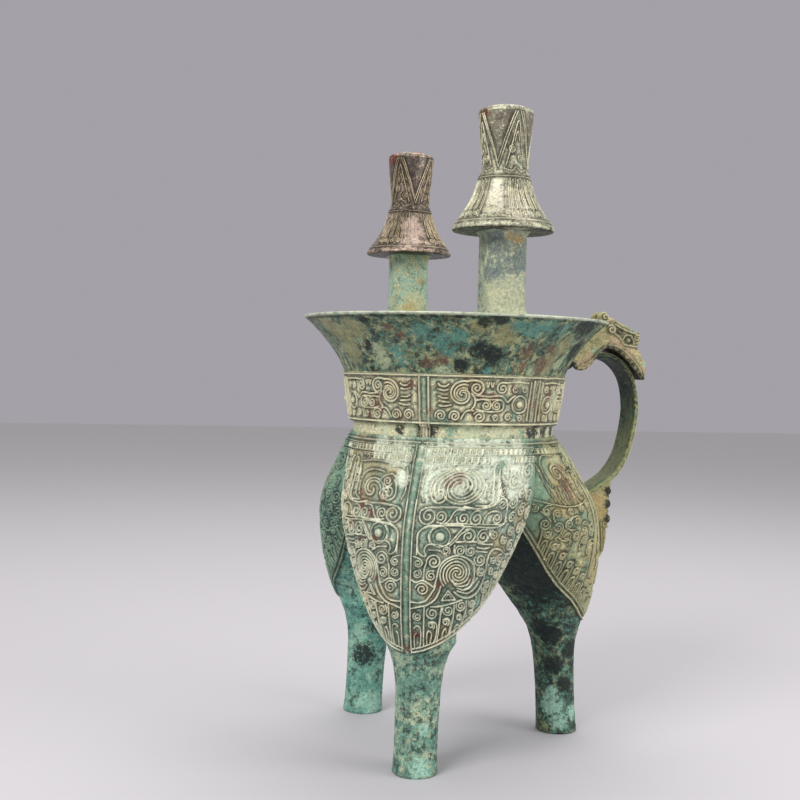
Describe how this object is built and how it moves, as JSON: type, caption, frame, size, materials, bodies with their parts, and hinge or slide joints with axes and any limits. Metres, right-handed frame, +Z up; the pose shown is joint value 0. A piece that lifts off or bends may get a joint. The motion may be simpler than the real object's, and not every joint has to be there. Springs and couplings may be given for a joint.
{
  "type": "bronze jia wine vessel",
  "caption": "Legged ritual bronze wine vessel with flared mouth, capped posts on the rim and a beast-head loop handle, cast with beast mask and spiral relief.",
  "frame": {"origin": "on the floor, under the centre of the bounding box; the vessel's own axis stands at X -10.7 mm, Y +0.3 mm", "axes": "+Z up along the vessel's axis; +X towards the handle, above the first leg"},
  "size_m": [0.1618, 0.1606, 0.28],
  "materials": {
    "verdigris_bronze": "matte",
    "leg_bronze": "matte",
    "stem_bronze": "matte",
    "cap_bronze": "satin",
    "strap_bronze": "matte",
    "head_bronze": "matte",
    "clay_core": "matte"
  },
  "bodies": {
    "root": {"mouth_and_neck": "verdigris_bronze", "handle_side_pouch": "verdigris_bronze", "handle_side_leg": "leg_bronze", "handle_side_leg_core": "clay_core", "back_pouch": "verdigris_bronze", "back_leg": "leg_bronze", "back_leg_core": "clay_core", "front_pouch": "verdigris_bronze", "front_leg": "leg_bronze", "front_leg_core": "clay_core", "near_post_stem": "stem_bronze", "near_post_cap": "cap_bronze", "near_post_cap_core": "clay_core", "far_post_stem": "stem_bronze", "far_post_cap": "cap_bronze", "far_post_cap_core": "clay_core", "handle_strap": "strap_bronze", "beast_head": "head_bronze", "handle_tail": "head_bronze"}
  },
  "joints": []
}
